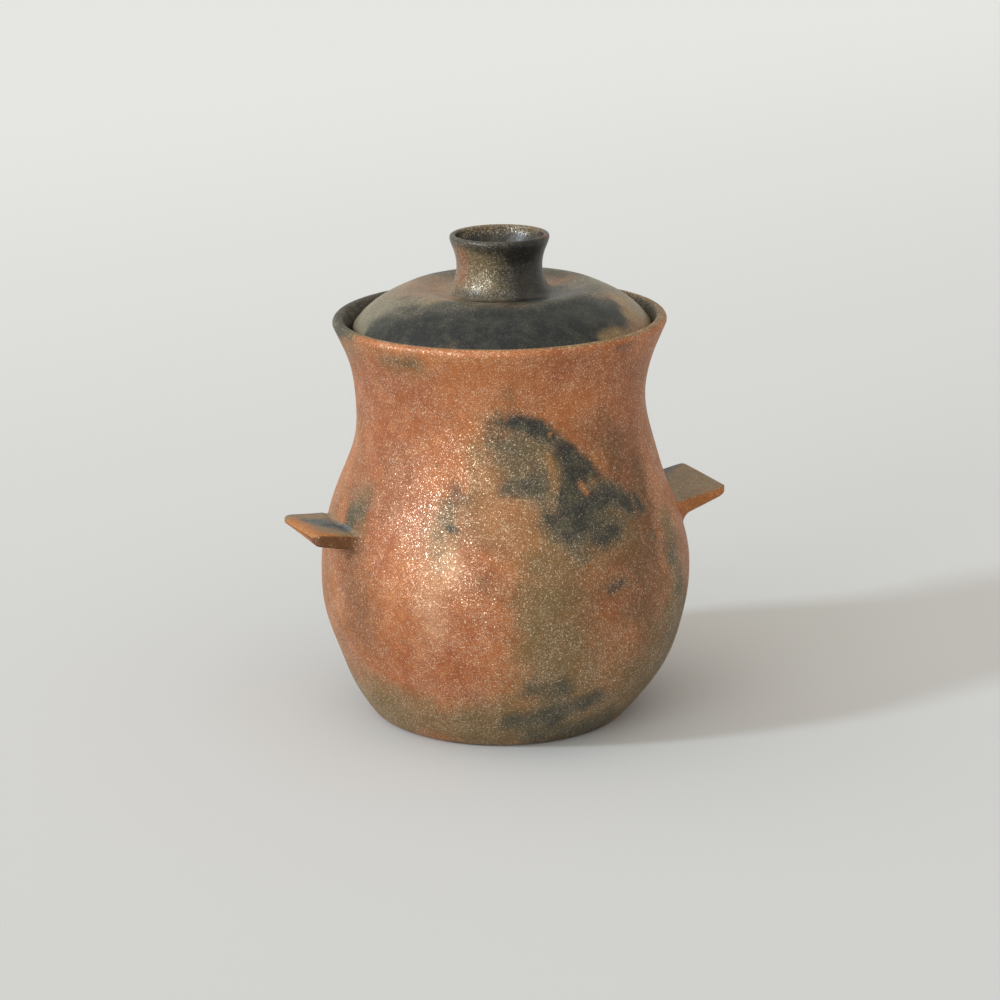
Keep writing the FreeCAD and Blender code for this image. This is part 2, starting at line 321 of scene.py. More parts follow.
def dents(bearing, height):
    """Sum of sine waves that close round the pot, each with its own turns, slope and phase."""
    draw = np.random.default_rng(dent_seed)
    total = np.zeros(np.broadcast(bearing, height).shape)
    for _ in range(dent_waves):
        turns = draw.integers(0, dent_turns + 1)
        slope = draw.uniform(-1.0, 1.0) / dent_tallness * 2.0 * math.pi
        phase = draw.uniform(0.0, 2.0 * math.pi)
        total += np.sin(np.radians(bearing) * turns + height * slope + phase)
    return total / math.sqrt(dent_waves)


def by_hand(points):
    """The wall drifted to one side, the rim climbing the same way, and shallow dents.

    The drift is a sum of shift * exp(-((height - centre) / spread)^2).
    """
    points = points.copy()
    height = points[..., 2].copy()
    lean = around(lean_bearing)
    drift = rim_drift * eased(height, climb_start, climb_end)
    for centre, spread, shift in drifts:
        drift = drift + shift * np.exp(-((height - centre) / spread) ** 2)
    depth = dent_depth * dents(bearing_of(points), height)
    depth *= eased(height, 0.0, dent_start)
    depth *= 1.0 - dent_calm * eased(height, dent_calm_start, climb_end)
    radius = np.linalg.norm(points[..., :2], axis=-1, keepdims=True)
    outward = points[..., :2] / np.maximum(radius, 1.0)
    sideways = points[..., :2] @ lean
    points[..., :2] += outward * depth[..., None] + lean * drift[..., None]
    points[..., 2] += math.tan(rim_climb) * sideways * eased(height, climb_start, climb_end)
    return points


def lid_by_hand(points):
    """The lid sits off centre in its seat and climbs with the rim."""
    points = points.copy()
    lean = around(lean_bearing)
    sideways = points[..., :2] @ lean
    points[..., 2] += math.tan(lid_climb) * sideways
    points[..., :2] += lean * (lid_shift + rim_drift)
    return points


# ---- meshes ----

def bearings(columns):
    """The bearing of each of a number of columns."""
    return np.arange(columns) * full_turn / columns


def turned(outline, columns):
    """Rows of an outline carried round the axis: radius times the bearing's direction, and height."""
    flat = outline[:, None, 0, None] * around(bearings(columns))[None]
    height = np.broadcast_to(outline[:, None, 1, None], flat.shape[:2] + (1,))
    return np.concatenate([flat, height], -1)


def unrolled(outline, columns):
    """Bearing and height of each point that turned() makes."""
    bearing, height = np.meshgrid(bearings(columns), outline[:, 1])
    return bearing, height


def grid_faces(rows, columns, ring_closed):
    """Quads between neighbouring rows and columns, closed round the columns, facing outwards."""
    row = np.arange(rows if ring_closed else rows - 1)[:, None]
    column = np.arange(columns)[None]
    here = row * columns + column
    beside = row * columns + (column + 1) % columns
    above = ((row + 1) % rows) * columns
    return np.stack([here, beside, above + (column + 1) % columns, above + column], -1).reshape(-1, 4)


def fan_faces(ring, pole, inwards):
    """Triangles from a ring of points to one pole."""
    following = np.roll(ring, -1)
    ends = (ring, following) if inwards else (following, ring)
    return np.stack([ends[0], ends[1], np.full_like(ring, pole)], -1)


def add_object(name, data):
    """An object that shows a mesh, lamp or camera, put into the scene."""
    thing = bpy.data.objects.new(name, data)
    bpy.context.scene.collection.objects.link(thing)
    return thing


def make_piece(name, points, poles=(), ring_closed=False):
    """A mesh from a grid of points (rows, columns, xyz) and a pole that closes each open end."""
    rows, columns = points.shape[:2]
    vertices = np.concatenate([points.reshape(-1, 3)] + [np.reshape(pole, (1, 3)) for pole in poles])
    faces = grid_faces(rows, columns, ring_closed).tolist()
    if poles:
        ring = np.arange(columns)
        first = rows * columns
        faces += fan_faces(ring, first, False).tolist()
        faces += fan_faces(ring + (rows - 1) * columns, first + 1, True).tolist()
    mesh = bpy.data.meshes.new(name)
    mesh.from_pydata((vertices * MM).tolist(), [], faces)
    mesh.polygons.foreach_set("use_smooth", np.ones(len(faces), bool))
    mesh.update()
    return add_object(name, mesh)


def turned_piece(name, outline, columns, unevenness):
    """An outline turned round the axis, made uneven, and closed by a pole at each of its ends."""
    poles = [unevenness(np.array([0.0, 0.0, height])) for height in outline[[0, -1], 1]]
    return make_piece(name, unevenness(turned(outline, columns)), poles)


def paint(piece, poles, layers):
    """Stores layers over a grid as point attributes that the materials read.

    A pole takes its neighbour's value.
    """
    for name, field in layers.items():
        flat = field.reshape(-1)
        values = np.append(flat, [flat[0], flat[-1]] if poles else [])
        attribute = piece.data.attributes.new(name, "FLOAT", "POINT")
        attribute.data.foreach_set("value", np.ascontiguousarray(values, np.float32))


# ---- marks: where smoke and flame touched the clay, and painted shade and painted highlight ----
# A stroke is two ends, each (across, along, width), and its strength. On the pot and the knob
# across is a bearing and along a height, on a lug they are x outwards and y, on the lid x and y.

pot_marks = {
    "soot": [
        (-27, 165, 4, -16, 166, 4.5, 0.5), (-16, 165, 4.5, -9, 163, 5, 0.75),
        (-11, 164, 4, -4, 160, 4.5, 0.75), (-24, 158, 4, -16, 157, 5, 0.25), (-4, 158, 4, 4, 151, 4, 0.8),
        (2, 149, 6, 7, 140, 7, 0.85), (8, 143, 4, 12, 138, 4, 0.7), (3, 140, 5, 2, 128, 5, 0.75),
        (-1, 131, 4.5, -1, 124, 5, 0.6), (-10, 129, 4, -8, 123, 4, 0.35), (8, 127, 6, 15, 126, 5, 0.9),
        (1, 124, 7, 9, 120, 7, 0.85), (-6, 120, 6, 3, 118, 7, 0.75), (-4, 113, 5, -1, 110, 5, 0.5),
        (0, 108, 4, 2, 102, 5, 0.3), (-11, 145, 5, -11, 137, 5, 0.35), (-22, 133, 4.5, -10, 135, 5, 0.65),
        (13, 132, 3, 15, 136, 3, 0.4), (19.5, 128, 3, 24, 121, 4, 1), (24, 121, 3, 26, 117, 3, 0.5),
        (30, 124, 1.6, 31.5, 117, 2.2, 1), (28, 116, 3, 32, 115, 3, 0.35), (16, 128, 4, 20, 129, 3, 0.45),
        (9, 109, 5, 16, 110, 5, 0.65), (33, 106, 2.2, 34, 102, 2.2, 0.55), (10, 85, 3, 14, 87, 3, 0.6),
        (22, 91, 5, 22, 89, 5, 0.35), (-41, 116, 2.6, -38, 115, 2.8, 0.7),
        (-39, 132, 3.5, -37, 130, 3.5, 0.5), (-18, 17, 7, -5, 19, 8, 0.25), (-5, 19, 8, 9, 26, 7, 0.35),
        (-12, 37, 7, -4, 36, 8, 0.25), (-48, 144, 1.2, -48, 143, 1.2, 0.8),
        (20, 198, 2.6, 27, 197.5, 2.6, 0.55), (42, 94, 3, 42, 86, 3, 0.4)],
    # on the flanks, smoke strokes near bearings 38 to 56 on the right and -96 on the left are partly smoke,
    # partly painted shade
    "smoke": [
        (-20, 181, 5, -19, 172, 7, 0.4), (-22, 166, 6, -10, 162, 6, 0.6), (-26, 158, 6, -16, 153, 9, 0.38),
        (-20, 148, 12, -12, 140, 12, 0.6), (-3, 155, 6, 4, 146, 8, 0.65), (-22, 134, 6, -8, 136, 7, 0.5),
        (1, 134, 7, 9, 125, 10, 0.6), (10, 125, 9, 20, 126, 8, 0.65), (-8, 118, 8, 2, 113, 8, 0.55),
        (-1, 110, 7, 2, 101, 7, 0.6), (18, 127, 6, 28, 120, 6, 0.65), (9, 110, 7, 18, 112, 8, 0.7),
        (-13, 38, 8, -5, 37, 8, 0.75), (-21, 17, 6.5, -6, 20, 7, 0.85), (-6, 20, 7, 10, 28, 6, 0.9),
        (10, 86, 5, 16, 88, 6, 0.45), (38, 98, 4, 40, 88, 4, 0.6), (-64, 194, 4, -54, 194, 4, 0.45),
        (-79, 116, 7, -84, 110, 8, 0.65), (-40, 112, 6, -43, 99, 6, 0.12), (-40, 134, 5, -42, 120, 6, 0.45),
        (-10, 6, 8, 24, 5, 9, 0.72), (24, 6, 9, 50, 9, 9, 0.35), (8, 10, 7, 22, 14, 8, 0.45),
        (44, 92, 8, 44, 74, 8, 0.4), (56, 60, 10, 40, 26, 10, 0.4), (-96, 160, 14, -88, 120, 10, 0.2),
        (-84, 113, 4, -84, 105, 5, 0.5), (44, 60, 16, 30, 40, 16, 0.3)],
    # on the flanks, olive strokes near bearings 40 to 56 on the right and -100 to -92 on the left are partly
    # olive clouding, partly painted shade
    "olive": [
        (-33, 150, 8, -30, 132, 10, 0.5), (-30, 132, 12, -26, 118, 12, 0.35),
        (-13, 98, 12, -10, 60, 18, 0.65), (-8, 60, 20, -8, 34, 24, 0.75), (-70, 14, 14, -30, 12, 15, 0.75),
        (-30, 10, 16, 60, 12, 22, 0.95), (44, 104, 9, 43, 60, 14, 0.75), (48, 56, 18, 34, 30, 18, 0.9),
        (4, 40, 18, 26, 36, 20, 0.5), (15, 118, 11, 22, 108, 10, 0.5), (-66, 193, 7, -52, 193, 7, 0.6),
        (-80, 122, 11, -78, 104, 9, 0.45), (-74, 30, 8, -50, 26, 6, 0.35),
        (-20, 178, 11, -28, 160, 11, 0.35), (-8, 150, 18, 4, 130, 20, 0.9),
        (-22, 148, 12, -14, 136, 13, 0.65), (0, 92, 14, 8, 60, 18, 0.3), (18, 98, 16, 26, 60, 20, 0.15),
        (-95, 190, 14, -84, 196, 12, 0.5), (40, 170, 26, 46, 120, 22, 0.15), (-36, 16, 8, -24, 26, 8, 0.4),
        (-42, 126, 7, -44, 100, 7, 0.45), (-100, 112, 20, -92, 46, 24, 0.4),
        (56, 170, 22, 56, 90, 24, 0.25), (-44, 118, 12, -4, 112, 12, 0.45), (-6, 112, 10, 6, 104, 12, 0.4)],
    "ochre": [
        (-5, 149, 3, -4, 134, 3.8, 0.5), (6, 134, 3, 8, 130, 3, 0.7), (-45, 198, 3, 20, 198, 3, 0.5),
        (-90, 197, 4, -64, 197, 4, 0.6), (-4, 159.5, 1.3, -4, 158.5, 1.3, 1), (-8, 105, 6, 0, 101, 6, 0.3),
        (20, 112, 8, 28, 116, 6, 0.2), (-31, 142, 9, -27, 124, 10, 0.55), (-20, 147, 9, -12, 143, 9, 0.35),
        (-26, 116, 9, -14, 112, 9, 0.45), (-18, 128, 6, -12, 126, 6, 0.35)],
    # painted shade: these umber strokes darken the pot's right flank, away from the key light, and its left
    # flank
    "painted_shade": [
        (20, 162, 12, 34, 142, 14, 0.5), (37, 134, 9, 31, 118, 11, 0.7), (31, 118, 11, 27, 100, 12, 0.95),
        (27, 100, 12, 23, 70, 12, 0.7), (24, 146, 9, 19, 106, 10, 0.7), (8, 161, 8, 20, 147, 8, 0.4),
        (15, 122, 9, 9, 86, 12, 0.55), (18, 92, 8, 16, 74, 9, 0.35), (-5, 104, 10, -2, 84, 11, 0.7),
        (33, 78, 10, 30, 56, 11, 0.45), (30, 56, 12, 14, 20, 12, 0.35), (-28, 92, 11, -12, 80, 12, 0.55),
        (26, 190, 10, 46, 176, 14, 0.3), (-96, 156, 12, -90, 124, 12, 0.45),
        (-80, 120, 10, -75, 60, 14, 0.55), (-70, 142, 11, -67, 121, 9, 0.35), (-71, 92, 9, -70, 76, 9, 0.2),
        (-12, 100, 9, -12, 86, 9, 0.35), (-60, 142, 9, -58, 128, 9, 0.25), (-66, 70, 14, -66, 50, 14, 0.3),
        (-44, 168, 10, -38, 158, 10, 0.25)],
    # painted highlight: pale strokes lighten the broad sheen left of the front, where the key light is
    # mirrored
    "pale": [
        (-60, 118, 9, -52, 104, 10, 0.28), (-44, 114, 8, -40, 100, 9, 0.7),
        (-44, 88, 11, -44, 70, 12, 0.45)],
}
back_marks = {
    "soot": [
        (128, 150, 9, 142, 118, 13, 0.8), (142, 118, 12, 160, 96, 8, 0.6), (-160, 60, 9, -148, 84, 7, 0.55),
        (96, 40, 8, 112, 30, 6, 0.5), (-140, 168, 6, -128, 160, 5, 0.5), (170, 30, 7, 178, 22, 6, 0.5)],
    "smoke": [
        (122, 160, 14, 142, 120, 22, 0.9), (142, 120, 20, 166, 88, 16, 0.8),
        (-166, 50, 16, -144, 90, 14, 0.7), (92, 44, 13, 116, 28, 12, 0.7),
        (-142, 172, 10, -124, 158, 10, 0.6), (164, 34, 13, 184, 20, 12, 0.7)],
    "olive": [
        (114, 166, 20, 140, 116, 32, 0.9), (140, 110, 30, 172, 78, 26, 0.85),
        (-172, 40, 24, -140, 96, 22, 0.8), (70, 30, 22, 180, 14, 22, 0.9), (180, 14, 20, 290, 12, 18, 0.85),
        (-146, 176, 16, -118, 152, 16, 0.6), (150, 190, 12, 190, 188, 12, 0.6)],
    "ochre": [
        (150, 198, 4, 230, 198, 4, 0.4), (136, 134, 4, 140, 128, 4, 0.6),
        (-110, 60, 14, -120, 84, 12, 0.35)],
}
left_lug_marks = {
    "soot": [
        (98, 6, 3, 94, 4, 3.5, 0.5), (94, -3, 4, 88, -9, 4, 0.9)],
    "smoke": [
        (106, 20, 3.5, 90, 20, 4, 0.6), (102, 8, 4, 94, 3, 6, 0.95), (94, 0, 6, 88, -8, 7, 0.95)],
    "ochre": [
        (109, 10, 5, 107, -20, 8, 1), (106, -20, 7, 99, -20, 4, 0.8)],
}
right_lug_marks = {
    "smoke": [
        (90, 18, 8, 100, 24, 7, 0.8), (100, 24, 5, 110, 25, 4, 0.5), (100, 6, 8, 104, 8, 8, 0.25)],
    # painted highlight: pale strokes lighten the right lug's top
    "pale": [
        (94, -12, 8, 104, -16, 7, 0.45), (96, 0, 13, 108, -8, 13, 0.4)],
}
lid_marks = {
    "soot": [
        (-70, -16, 6, -56, -38, 7, 0.8), (-56, -38, 7, -36, -57, 9, 0.95), (-36, -57, 10, -8, -66, 11, 1),
        (-8, -66, 11, 20, -64, 9, 1), (20, -62, 8, 34, -54, 7, 1), (36, -52, 6, 44, -42, 5.5, 0.9),
        (-72, -4, 3.5, -72, -12, 4.5, 0.9), (-60, -20, 5, -54, -26, 6, 0.5),
        (-50, -30, 6, -42, -42, 8, 0.75), (-30, -46, 7, -8, -55, 8, 0.85), (4, -55, 8, 26, -48, 8, 0.9),
        (20, 50, 16, -20, 58, 14, 0.7), (-20, -38, 5, -4, -42, 5, 0.35), (30, -40, 6, 40, -40, 5, 0.3),
        (54, -23, 1.6, 55, -25, 1.6, 0.9), (-26, -22, 4, -8, -32, 5, 0.5), (-6, -32, 5, 20, -20, 5, 0.5),
        (22, -14, 5, 40, -12, 5, 0.4), (-20, -30, 5, 4, -37, 6, 0.6), (-74, -8, 5, -64, -28, 6, 0.6),
        (-24, -22, 4, -6, -31, 5, 0.75), (-6, -31, 5, 18, -26, 5, 0.75), (-68, 0, 3, -62, -14, 4, 0.5),
        (-58, -4, 2.5, -52, -16, 4, 0.5), (-52, 4, 2.5, -47, -8, 3.5, 0.35)],
    "smoke": [
        (-66, -8, 8, -50, -34, 12, 0.8), (-50, -34, 12, -26, -54, 13, 1), (-26, -54, 13, 6, -58, 14, 1),
        (6, -58, 14, 36, -46, 12, 1), (-6, -44, 7, 14, -40, 7, 0.7), (14, -36, 8, 40, -24, 8, 0.6),
        (20, -16, 7, 26, -26, 6, 0.75), (52, -20, 6, 60, -10, 7, 0.2), (44, 8, 10, 24, 44, 22, 0.6),
        (20, 46, 24, -30, 54, 22, 0.9), (-26, -24, 6, -6, -32, 7, 0.8), (-6, -30, 7, 20, -18, 7, 0.8),
        (-40, -26, 6, -26, -38, 6, 0.6), (-26, -12, 4, -14, -25, 5, 0.6), (-14, -25, 5, 10, -28, 5, 0.85),
        (10, -28, 5, 27, -8, 5, 0.85), (-26, -24, 6, -8, -34, 7, 0.9), (-8, -34, 7, 14, -32, 7, 0.9),
        (-70, 4, 5, -60, -12, 7, 0.25), (-58, 4, 5, -48, -12, 6, 0.2)],
    "olive": [
        (-70, 20, 10, -66, -10, 10, 0.95), (-60, 12, 9, -55, -8, 9, 0.8), (-50, 26, 10, -38, 40, 10, 0.55),
        (-50, -14, 8, -40, -28, 7, 0.7), (-38, -30, 6, -22, -38, 5, 0.7), (0, -44, 8, 30, -26, 10, 0.95),
        (30, -26, 11, 50, -10, 12, 0.95), (50, -12, 12, 62, 8, 14, 0.85), (0, 50, 34, 40, 30, 26, 0.9),
        (-60, 40, 16, -40, 56, 20, 0.8), (-46, 14, 12, -40, -6, 10, 0.35), (56, -34, 8, 64, -26, 8, 0.75),
        (28, -14, 7, 44, -6, 8, 0.8), (-27, -8, 4, -14, -26, 5, 0.6), (-14, -26, 5, 27, -10, 5, 0.8),
        # painted highlight: this olive stroke paints the grey sheen on the dish's crest right of the knob
        (34, -22, 4, 50, -20, 5, 0.9)],
    "ochre": [
        (46, -46, 5, 54, -40, 7, 0.85), (48, -36, 5, 54, -24, 6, 0.75), (24, -67, 4, 36, -61, 5, 0.8),
        (46, -30, 4, 44, -24, 4, 0.5), (-30, -35, 3, -16, -42, 3, 0.4), (-10, -46, 2.5, 2, -47, 2.5, 0.35),
        (-46, -16, 5, -40, -22, 5, 0.4)],
}
knob_marks = {
    "soot": [
        (2, 244, 5, 8, 216, 6, 0.8), (20, 242, 9, 24, 216, 10, 1), (48, 240, 9, 52, 218, 10, 1),
        (-14, 239, 4, -2, 233, 5, 0.7), (66, 234, 6, 72, 220, 7, 0.6), (-30, 239.5, 3, -14, 239, 3, 0.5)],
    "smoke": [
        (-8, 244, 6, 0, 214, 7, 0.7), (-44, 240, 4, -14, 238, 5, 0.75), (10, 244, 14, 14, 214, 14, 1),
        (56, 244, 12, 62, 214, 12, 0.9), (-116, 242.5, 3, -40, 242, 3, 0.85),
        (-112, 239, 3, -60, 239, 3, 0.35), (-80, 216, 3, -20, 215.5, 3, 0.6),
        (-40, 242, 3, 20, 242, 3, 0.9)],
    "olive": [
        (-44, 238, 9, -40, 216, 9, 0.8), (-22, 238, 9, -20, 216, 9, 0.9), (-60, 228, 5, -64, 216, 6, 0.5),
        (-104, 216, 5, -80, 216, 4, 0.6), (90, 240, 16, 110, 216, 18, 0.6),
        (-118, 243, 5, -62, 243, 5, 0.9), (130, 243, 5, 240, 243, 5, 0.8),
        (-130, 238, 6, -128, 218, 6, 0.6)],
    "ochre": [
        (-76, 236, 6, -80, 222, 7, 0.4), (-50, 230, 4, -46, 222, 5, 0.3), (34, 243, 2.5, 62, 243, 2.5, 0.4)],
}

# Tones that follow the shape. A band is where a tone starts and where it is full.
stroke_radius = 84.0            # bearings of the pot's strokes are lengths on this radius
inside_band = (0.0, 5.0)        # these four in millimetres past the crest of the pot's lip
lip_band = (-4.5, -1.0)
crest_band = (-2.5, 0.5)
rim_band = (-11.0, -4.0)
# how strongly the inside, brown lip, dark lip, warm lip and crest line take each mark; the crest line is
# partly olive smoking, partly a painted shadow where the lid meets the lip
pot_tones = {"soot": (0.9, 0.0, 0.55, 0.0, 0.15), "smoke": (1.0, 0.0, 1.0, 0.0, 0.3),
             "olive": (1.0, 0.6, 1.0, 0.0, 0.9), "ochre": (0.0, 0.0, 0.0, 0.35, 0.0)}
lug_top_band = (0.2, 0.9)       # in the upward share of a section's outward direction
dome_under_band = (-6.0, 4.0)   # in rows past its edge
dome_under_smoke = 0.8
knob_inside_rows = 5
knob_light_band = (236.0, 241.0)    # heights on the knob's inside that a lighter part climbs over
knob_light_share = 0.7
knob_inside_dark = {"soot": 0.75, "smoke": 1.0, "olive": 1.0, "ochre": 0.0}


def marks(across, along, strokes, lap=None):
    """How strongly a set of strokes covers each place, from 0 to 1.

    A stroke fades with exp(-(distance / width)^2) from the line between its ends, and what one
    leaves bare the next may cover. lap is the length round the piece after which across begins
    again.
    """
    bare = np.ones(across.shape)
    for stroke in np.array(strokes, float).reshape(-1, 7):
        start, end, strength = stroke[:3], stroke[3:6], stroke[6]
        line = end - start
        reach = max(line[:2] @ line[:2], 1e-6)      # squared; a stroke may be a single spot
        beside = across - start[0]
        if lap:
            middle = line[0] / 2.0
            beside = (beside - middle + lap / 2.0) % lap - lap / 2.0 + middle
        share = np.clip((beside * line[0] + (along - start[1]) * line[1]) / reach, 0.0, 1.0)
        away = np.hypot(beside - share * line[0], along - start[1] - share * line[1])
        width = start[2] + share * line[2]
        bare *= 1.0 - np.clip(strength * np.exp(-(away / width) ** 2), 0.0, 1.0)
    return 1.0 - bare


def wall_marks(bearing, height, strokes, radius=stroke_radius):
    """Strokes on a round wall, with their bearings as lengths on its radius."""
    degree = math.radians(1.0) * radius
    lengths = np.array(strokes, float).reshape(-1, 7) * (degree, 1.0, 1.0, degree, 1.0, 1.0, 1.0)
    return marks(bearing * degree, height, lengths, lap=full_turn * degree)


def sector(bearing, centre, half, soft):
    """1 within half of a centre bearing, easing to 0 over soft degrees more."""
    away = np.abs((bearing - centre + full_turn / 2.0) % full_turn - full_turn / 2.0)
    return 1.0 - eased(away, half, half + soft)


# ---- pot ----

def paint_pot(piece, outline):
    """The outside takes its strokes, the lip its own tones, and the inside is dark all over in soot, smoke
    and olive tones.
    """
    bearing, height = unrolled(outline, pot_columns)
    run = run_length(outline)[:, None]
    past_crest = run - run[np.argmax(outline[:, 1])]        # millimetres along the outline
    inside = eased(past_crest, *inside_band) + np.zeros_like(bearing)
    outside = 1.0 - inside
    lip = eased(past_crest, *lip_band) * outside
    # the crest line darkens the lip's top all round: partly olive and smoke clouding, partly a painted shadow
    # of the gap under the lid
    crest_smoke_and_shadow = eased(past_crest, *crest_band) * outside
    rim = eased(past_crest, *rim_band) * outside
    dark_lip = rim * sector(bearing, centre=-166.0, half=74.0, soft=16.0)
    brown_lip = lip * sector(bearing, centre=60.0, half=50.0, soft=30.0)
    warm_lip = lip * (1.0 - sector(bearing, centre=-150.0, half=70.0, soft=26.0))
    layers = {name: wall_marks(bearing, height, strokes + back_marks.get(name, [])) * outside
              for name, strokes in pot_marks.items()}
    for name, shares in pot_tones.items():
        fields = (inside, brown_lip, dark_lip, warm_lip, crest_smoke_and_shadow)
        layers[name] += sum(field * share for field, share in zip(fields, shares))
    paint(piece, True, layers)


def make_pot():
    """The wall, base and inside in one closed skin, turned from the outline and uneven by hand."""
    outline = pot_outline()
    piece = turned_piece("pot_body_clay", outline, pot_columns, by_hand)
    paint_pot(piece, outline)
    return piece


# ---- lugs ----

def wall_distance(back, height, side):
    """How far out the wall is at a height, along X, for a point this far from the XZ plane."""
    radius = np.interp(height, side[:, 1], side[:, 0])
    return np.sqrt(radius ** 2 - back ** 2)


def rounded_section(half_width, half_height, corner, per_corner=7, per_flat=(16, 3)):
    """A rectangle with round corners: points (across, up) and their outward directions."""
    angle = np.linspace(0.0, quarter_turn, per_corner)
    corners = []
    for quarter in range(4):
        turn = angle + quarter * quarter_turn
        outward = np.stack([np.cos(turn), np.sin(turn)], 1)
        middle = np.sign(outward.mean(0)) * (half_width - corner, half_height - corner)
        corners.append((middle + corner * outward, outward))
    ring = []
    ring_outward = []
    for (points, outward), (following, _), count in zip(corners, corners[1:] + corners[:1], per_flat * 2):
        share = np.linspace(0.0, 1.0, count)[1:-1, None]
        ring += [points, points[-1] * (1.0 - share) + following[0] * share]
        ring_outward += [outward, np.repeat(outward[-1:], count - 2, 0)]
    return np.concatenate(ring), np.concatenate(ring_outward)


def make_lug(name, own_marks, tones, sign, reach, half_width, middle, slope, cross, thickness, thinning,
             skew, corners, tip_round, roll, taper, fillet, pull):
    """A flat tab drawn out of the wall, to the left (sign -1) or to the right (sign 1).

    Its section is a rounded rectangle carried outwards. Over the fillet the section spreads
    along its own outward directions by fillet * (1 - cos a) while it comes within
    fillet * (1 - sin a) of the wall; pull widens the fillet on the front. Beyond, it runs
    straight, rising by slope, and closes over the tip in a quarter of a circle, which the top
    stretches to an ellipse roll times as long. The tip's front and back corners are rounded by
    corners. Per millimetre towards the back it rises by cross and reaches skew further, and
    per millimetre in from the tip it is thinning thicker. At the tip, taper is the share of the
    thickness that the back edge loses and the front edge gains. paint_lug tells what the tones are.
    """
    side = pot_side()
    root_half = (thickness + thinning * (reach - belly_radius)) / 2.0
    section, outward = rounded_section(half_width, root_half, lug_edge_round)
    section[:, 0] *= sign
    outward[:, 0] *= sign

    turn = np.linspace(quarter_turn, 0.0, lug_fillet_rows)[:, None]
    fillets = fillet * (1.0 + pull * np.clip(-outward[:, 0], 0.0, 1.0))
    spread = fillets * (1.0 - np.cos(turn))
    back = section[:, 0] + outward[:, 0] * spread
    up = section[:, 1] + outward[:, 1] * spread
    out = wall_distance(back, middle + up + cross * back, side) + fillets * (1.0 - np.sin(turn))

    stations = 1.0 - (1.0 - np.linspace(0.0, 1.0, lug_run_rows)[1:, None]) ** lug_tip_crowding
    tip = reach + skew * section[:, 0]
    run_out = out[-1] + stations * (tip - out[-1])
    left = np.clip(tip - run_out, 0.0, None)
    corner = np.where(section[:, 0] < 0.0, corners[0], corners[1])
    narrowing = corner - np.sqrt(corner ** 2 - np.clip(corner - left, 0.0, None) ** 2)
    half_now = (thickness + thinning * left) / 2.0 * (1.0 - taper * stations * section[:, 0] / half_width)
    edge = np.minimum(half_now, tip_round)
    stretch = 1.0 + (roll - 1.0) * np.clip(outward[:, 1], 0.0, 1.0)
    inward = np.clip(1.0 - left / (stretch * edge), 0.0, 1.0)
    closing = 1.0 - np.sqrt(1.0 - inward ** 2)
    run_back = section[:, 0] * (half_width - narrowing) / half_width
    run_up = section[:, 1] / root_half * (half_now - edge * closing)

    out = np.concatenate([out, run_out])
    back = np.concatenate([back, run_back])
    up = np.concatenate([up, run_up])
    height = middle + up + cross * back + slope * (out - belly_radius)
    out[:2] -= lug_seat
    points = np.stack([sign * out, back, height], -1)
    bearing = bearing_of(points)
    points = by_hand(points)
    wall_pole = np.array([sign * (wall_distance(0.0, middle, side) - lug_pole_depth), 0.0, middle])
    piece = make_piece(name, points, [by_hand(wall_pole), points[-1].mean(0)])
    top = eased(outward[:, 1], *lug_top_band) + np.zeros_like(out)
    root = 1.0 - eased(np.arange(len(out)), *lug_root_rows)[:, None] + np.zeros_like(out)
    place = {"out": out, "back": back, "top": top, "root": root, "bearing": bearing, "height": height}
    paint_lug(piece, place, own_marks, **tones)
    return piece


def paint_lug(piece, place, own_marks, front_end, front_soot_shade, front_painted_shade, front_bare, painted_shade, olive, ochre):
    """A lug's own marks, easing into the wall's marks over its root.

    Its top is olive under the strokes, and its sides are ochre over umber painted shade. The front side,
    whose tones are full from front_end on, takes painted shade of its own in soot and umber tones and lacks
    the share front_bare of the ochre.
    """
    top, root = place["top"], place["root"]
    sides = 1.0 - top
    front = sides * eased(-place["back"], lug_front_start, front_end)
    layers = {name: marks(place["out"], place["back"], own_marks.get(name, [])) * top for name in pot_marks}
    # painted shade: soot and umber tones darken the front side, and umber the other sides
    layers["soot"] += front * front_soot_shade
    layers["painted_shade"] += front * front_painted_shade + sides * painted_shade
    layers["olive"] += top * olive
    layers["ochre"] = np.maximum(layers["ochre"], sides * (1.0 - front * front_bare) * ochre)
    for name, strokes in pot_marks.items():
        wall_layer = wall_marks(place["bearing"], place["height"], strokes)
        layers[name] = layers[name] * (1.0 - root) + wall_layer * root
    paint(piece, True, layers)


# ---- lid ----

def make_dome():
    """The lid's wall, with its marks drawn in plan and its underside smoked all over."""
    outline = dome_outline()
    piece = turned_piece("lid_dome_clay", outline, lid_columns, lid_by_hand)
    across, along = np.moveaxis(turned(outline, lid_columns), -1, 0)[:2]
    edge = np.argmax(outline[:, 0])
    under = 1.0 - eased(np.arange(len(outline)), *np.add(edge, dome_under_band))[:, None]
    layers = {name: marks(across, along, strokes) for name, strokes in lid_marks.items()}
    for name in ("soot", "smoke", "olive"):
        layers[name] = layers[name] * (1.0 - under) + under * dome_under_smoke
    paint(piece, True, layers)
    return piece


